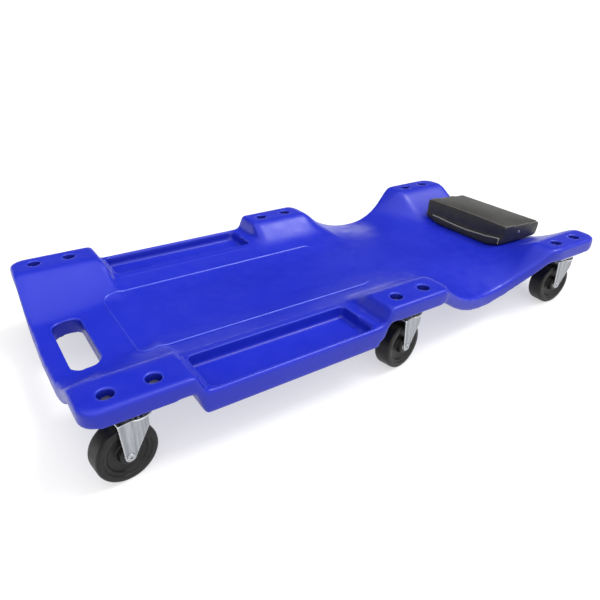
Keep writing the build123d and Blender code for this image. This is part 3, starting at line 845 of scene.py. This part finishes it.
def front_inset(y, share):
    """How far the front leans back from the cover's box at y, at a share of its height."""
    v = (y - REST_MIDDLE.y) / ((REST_HIGH.y - REST_LOW.y) / 2)
    corner, bow = FRONT_LEAN
    return 1.5 * MM + share * (corner + bow * (1 - v * v))


def tailor(co, base_z):
    """Cuts the block to the cushion: a leaning front, a fuller lower band and tapering ends."""
    share = np.clip((co[:, 2] - base_z) / (rest_top(co[:, 0]) - base_z), 0, 1)
    band = np.clip((front_seam_z(co[:, 1]) - co[:, 2]) / (4 * MM), 0, 1)
    half = (REST_HIGH - REST_LOW) / 2
    off_x = co[:, 0] - REST_MIDDLE.x
    front = front_inset(co[:, 1], share) - REST_BAND * band
    inset = np.where(off_x < 0, front, 1.5 * MM)
    co[:, 0] = REST_MIDDLE.x + off_x * (1 - inset / half.x)
    off_y = co[:, 1] - REST_MIDDLE.y
    inset = 0.8 * MM + END_TAPER * (1 - share) ** 1.5
    co[:, 1] = REST_MIDDLE.y + off_y * (1 - inset / half.y)
    return co


def simulate_rest(rest, base):
    """Blows the cover up gently between its seams, as foam fills it."""
    co = points_of(rest.data)
    base_z = np.array([base(x, y) for x, y in co[:, :2]])
    share = (co[:, 2] - base_z) / (rest_top(co[:, 0]) - base_z)
    pinned = share < 0.07
    pinned |= (np.abs(co[:, 2] - front_seam_z(co[:, 1])) < 3 * MM) & (co[:, 0] < REST_LOW.x + 9 * MM)
    side = np.minimum(co[:, 0] - REST_LOW.x, REST_HIGH.x - co[:, 0])
    side = np.minimum(side, np.minimum(co[:, 1] - REST_LOW.y, REST_HIGH.y - co[:, 1]))
    top_edge = side < np.where(co[:, 0] < REST_MIDDLE.x, front_inset(co[:, 1], share), 0) + 6 * MM
    pinned |= (share > 0.86) & top_edge
    group = rest.vertex_groups.new(name="seams")
    group.add([int(i) for i in np.flatnonzero(pinned)], 0.9, "REPLACE")
    cloth = rest.modifiers.new("fill", "CLOTH")
    cloth.settings.vertex_group_mass = "seams"
    cloth.settings.use_pressure = True
    cloth.settings.uniform_pressure_force = REST_PRESSURE
    cloth.settings.effector_weights.gravity = 0.0
    cloth.settings.quality = 6
    cloth.point_cache.frame_start = 1
    cloth.point_cache.frame_end = REST_FRAMES
    for step in range(1, REST_FRAMES + 1):
        bpy.context.scene.frame_set(step)
    apply_modifiers(rest)
    rest.vertex_groups.clear()
    bpy.context.scene.frame_set(1)
    moved = points_of(rest.data) - co
    far = np.linalg.norm(moved, axis=1, keepdims=True)
    moved *= np.minimum(1.0, REST_SWELL / np.maximum(far, 1e-9))
    set_points(rest.data, co + moved)


def cover_block(base):
    """The cover's outer shape: a block between the dish and the sloping top."""
    block = bmesh.new()
    bmesh.ops.create_cube(block, size=2)
    bmesh.ops.subdivide_edges(block, edges=block.edges, cuts=20, use_grid_fill=True)
    half = (REST_HIGH - REST_LOW) / 2
    for vert in block.verts:
        x = REST_MIDDLE.x + vert.co.x * half.x
        y = REST_MIDDLE.y + vert.co.y * half.y
        foot = base(x, y) + 0.4 * MM
        vert.co = (x, y, foot + (rest_top(x) - foot) * (vert.co.z + 1) / 2)
    mesh = bpy.data.meshes.new("headrest_cushion")
    block.to_mesh(mesh)
    block.free()
    return new_object("headrest_cushion", mesh)


def build_headrest(base):
    """The padded headrest's simulated vinyl cover."""
    rest = cover_block(base)
    voxel_skin(rest, REST_VOXEL, 1)
    co = points_of(rest.data)
    base_z = np.array([base(x, y) for x, y in co[:, :2]])
    set_points(rest.data, tailor(co, base_z))
    simulate_rest(rest, base)
    fine = rest.modifiers.new("fine", "SUBSURF")
    fine.levels = 2
    fine.render_levels = 2
    apply_modifiers(rest)
    rest.data.shade_smooth()
    finish_piece(rest, "deck_body", "headrest_vinyl", ["headrest_cover"])
    return rest


def build_filling(base):
    """The foam and the board, a little smaller so that they stay inside the sewn cover."""
    for node, name in (("headrest_foam", "headrest_foam_block"), ("headrest_board", "headrest_board_panel")):
        piece = node_copy(node, name)
        co = points_of(piece.data)
        base_z = np.array([base(x, y) for x, y in co[:, :2]])
        set_points(piece.data, shrink(co, base_z, 9 * MM, 13 * MM))
        co = points_of(piece.data)
        co[:, 2] -= 3 * MM * np.clip((co[:, 2] - base_z - 8 * MM) / (10 * MM), 0, 1)
        set_points(piece.data, co)
        piece.data.shade_smooth()
        smooth_by_angle(piece.data, 30)
        slot = "headrest_foam" if node == "headrest_foam" else "plywood"
        finish_piece(piece, "deck_body", slot, [node])


def build_piping(rest, base):
    """Cords sewn along the cushion's seams, laid on its skin, and a vent at each end."""
    tree = BVHTree.FromObject(rest, bpy.context.evaluated_depsgraph_get())

    def on_skin(point, sink):
        found, normal, _, _ = tree.find_nearest(point)
        return found - normal * sink

    # Round the top panel: its seam follows the leaning front
    top = []
    half_x = (REST_HIGH.x - REST_LOW.x) / 2
    half_y = (REST_HIGH.y - REST_LOW.y) / 2
    steps = 240
    for step in range(steps):
        angle = 2 * math.pi * step / steps
        along_x, along_y = math.cos(angle), math.sin(angle)
        reach = (abs(along_x) ** 20 + abs(along_y) ** 20) ** (-1 / 20)
        y = REST_MIDDLE.y + along_y * reach * (half_y - 0.8 * MM - SEAM_IN)
        inset = front_inset(y, 1) if along_x < 0 else 1.5 * MM
        x = REST_MIDDLE.x + along_x * reach * (half_x - inset - SEAM_IN)
        found = tree.ray_cast(Vector((x, y, 0.2)), Vector((0, 0, -1)))
        top.append(found[0] - found[1] * 0.2 * MM)
    # The top cord takes the lighter piping, a painted highlight.
    finish_piece(tube("headrest_piping_top", top, 1.2 * MM, closed=True), "deck_body",
                 "headrest_vinyl", material=PIPING_HIGHLIT)

    # Across the front and down at its near end
    front = []
    for step in range(71):
        y = (86 - 184 * step / 70) * MM
        front.append(on_skin(Vector((REST_LOW.x - 6 * MM, y, front_seam_z(y))), 0.35 * MM))
    last = front[-1]
    foot_z = base(last.x, last.y) + 3 * MM
    for step in range(1, 9):
        z = last.z + (foot_z - last.z) * step / 8
        front.append(on_skin(Vector((REST_LOW.x - 6 * MM, last.y, z)), 0.35 * MM))
    finish_piece(tube("headrest_piping_front", front, 1.2 * MM), "deck_body",
                 "headrest_vinyl", material=PIPING_GREY)

    # Down each corner
    for name, side_x, side_y in (("foot_left", -1, -1), ("foot_right", -1, 1),
                                 ("head_left", 1, -1), ("head_right", 1, 1)):
        x = REST_MIDDLE.x + side_x * (half_x + 4 * MM)
        y = REST_MIDDLE.y + side_y * (half_y + 4 * MM)
        top_z = rest_top(x) - 5 * MM
        foot_z = base(x - side_x * 8 * MM, y - side_y * 8 * MM) + 4 * MM
        drop = [on_skin(Vector((x, y, top_z + (foot_z - top_z) * step / 16)), 0.3 * MM)
                for step in range(17)]
        finish_piece(tube(f"headrest_piping_{name}", drop, 1.1 * MM), "deck_body",
                     "headrest_vinyl", material=PIPING_BLACK)

    # Vents
    ring = rounded([(2.9 * MM, -0.6 * MM), (2.9 * MM, 0.8 * MM), (1.5 * MM, 0.9 * MM),
                    (1.3 * MM, -0.6 * MM)], 0.4 * MM)
    for name, side_y in (("left", -1), ("right", 1)):
        seat = on_skin(Vector((423 * MM, REST_MIDDLE.y + side_y * (half_y + 5 * MM), 107 * MM)), 0)
        vent = new_object(f"headrest_vent_{name}", lathe(f"vent_{name}", ring, 0, 0, 32))
        vent.matrix_world = Matrix.Translation(seat) @ Matrix.Rotation(math.pi * (side_y < 0), 4, "Z")
        finish_piece(vent, "deck_body", "zinc_steel")


deck_under = dish_under_rest()
build_filling(deck_under)
build_piping(build_headrest(deck_under), deck_under)


# ---- Stage, light and camera ----
def build_stage():
    """A pale round floor with a low upturned rim."""
    work = bmesh.new()
    bmesh.ops.create_circle(work, cap_ends=True, segments=96, radius=FLOOR_RADIUS)
    rim = bmesh.ops.extrude_edge_only(work, edges=[e for e in work.edges if e.is_boundary])
    for vert in rim["geom"]:
        if isinstance(vert, bmesh.types.BMVert):
            vert.co.z = RIM_HEIGHT
    for face in work.faces:
        face.material_index = int(face.calc_center_median().z > 0.1)
    mesh = bpy.data.meshes.new("floor")
    work.to_mesh(mesh)
    work.free()
    floor = new_object("floor", mesh)
    floor.location.z = -0.2 * MM
    mesh.materials.append(floor_surface("floor_pale", FLOOR_GLOW))
    mesh.materials.append(floor_surface("floor_backdrop", BACKDROP_GLOW))


def area_light(name, place, target, size, power):
    """A square soft box that faces its target."""
    light = bpy.data.lights.new(name, "AREA")
    light.size = size
    light.energy = power
    obj = bpy.data.objects.new(name, light)
    bpy.context.scene.collection.objects.link(obj)
    obj.location = place
    obj.rotation_euler = (Vector(target) - Vector(place)).to_track_quat("-Z", "Y").to_euler()


def build_lights():
    """A room that is bright overhead, a wide soft sun and a soft box beside the camera."""
    world = bpy.data.worlds.new("studio")
    bpy.context.scene.world = world
    world.use_nodes = True
    nodes, links = world.node_tree.nodes, world.node_tree.links
    facing = nodes.new("ShaderNodeVectorMath")
    facing.operation = "DOT_PRODUCT"
    facing.inputs[1].default_value = SKY_SIDE
    links.new(nodes.new("ShaderNodeTexCoord").outputs["Generated"], facing.inputs[0])
    rise = nodes.new("ShaderNodeMapRange")
    rise.interpolation_type = "SMOOTHSTEP"
    for socket, number in (("From Min", SKY_RISE[0]), ("From Max", SKY_RISE[1]), ("To Min", SKY_LOW),
                           ("To Max", SKY_HIGH)):
        rise.inputs[socket].default_value = number
    links.new(facing.outputs["Value"], rise.inputs["Value"])
    links.new(rise.outputs["Result"], nodes["Background"].inputs["Strength"])
    nodes["Background"].inputs["Color"].default_value = (1, 1, 1, 1)
    sun = bpy.data.lights.new("sun", "SUN")
    sun.energy = SUN_STRENGTH
    sun.angle = math.radians(SUN_WIDTH)
    obj = bpy.data.objects.new("sun", sun)
    bpy.context.scene.collection.objects.link(obj)
    obj.rotation_euler = Vector(SUN_SIDE).to_track_quat("Z", "Y").to_euler()
    area_light("side", (-0.7, -2.4, 1.2), (0, 0, 0.1), 1.2, 7)


def build_camera():
    """The camera, three quarters from the foot end and the left."""
    azimuth, elevation, roll = math.radians(-34.01), math.radians(28.55), math.radians(0.96)
    back = Vector((math.sin(azimuth) * math.cos(elevation), -math.cos(azimuth) * math.cos(elevation),
                   math.sin(elevation)))
    right = Vector((0, 0, 1)).cross(back).normalized()
    up = back.cross(right)
    right_turned = right * math.cos(roll) + up * math.sin(roll)
    up_turned = up * math.cos(roll) - right * math.sin(roll)
    data = bpy.data.cameras.new("camera")
    data.sensor_width = 36
    data.lens = 32.55
    camera = bpy.data.objects.new("camera", data)
    bpy.context.scene.collection.objects.link(camera)
    axes = Matrix((right_turned, up_turned, back)).transposed().to_4x4()
    camera.matrix_world = Matrix.Translation((-0.5468, -0.7347, 0.5153)) @ axes
    bpy.context.scene.camera = camera


build_stage()
build_lights()
build_camera()
bpy.context.scene.view_settings.view_transform = "Standard"
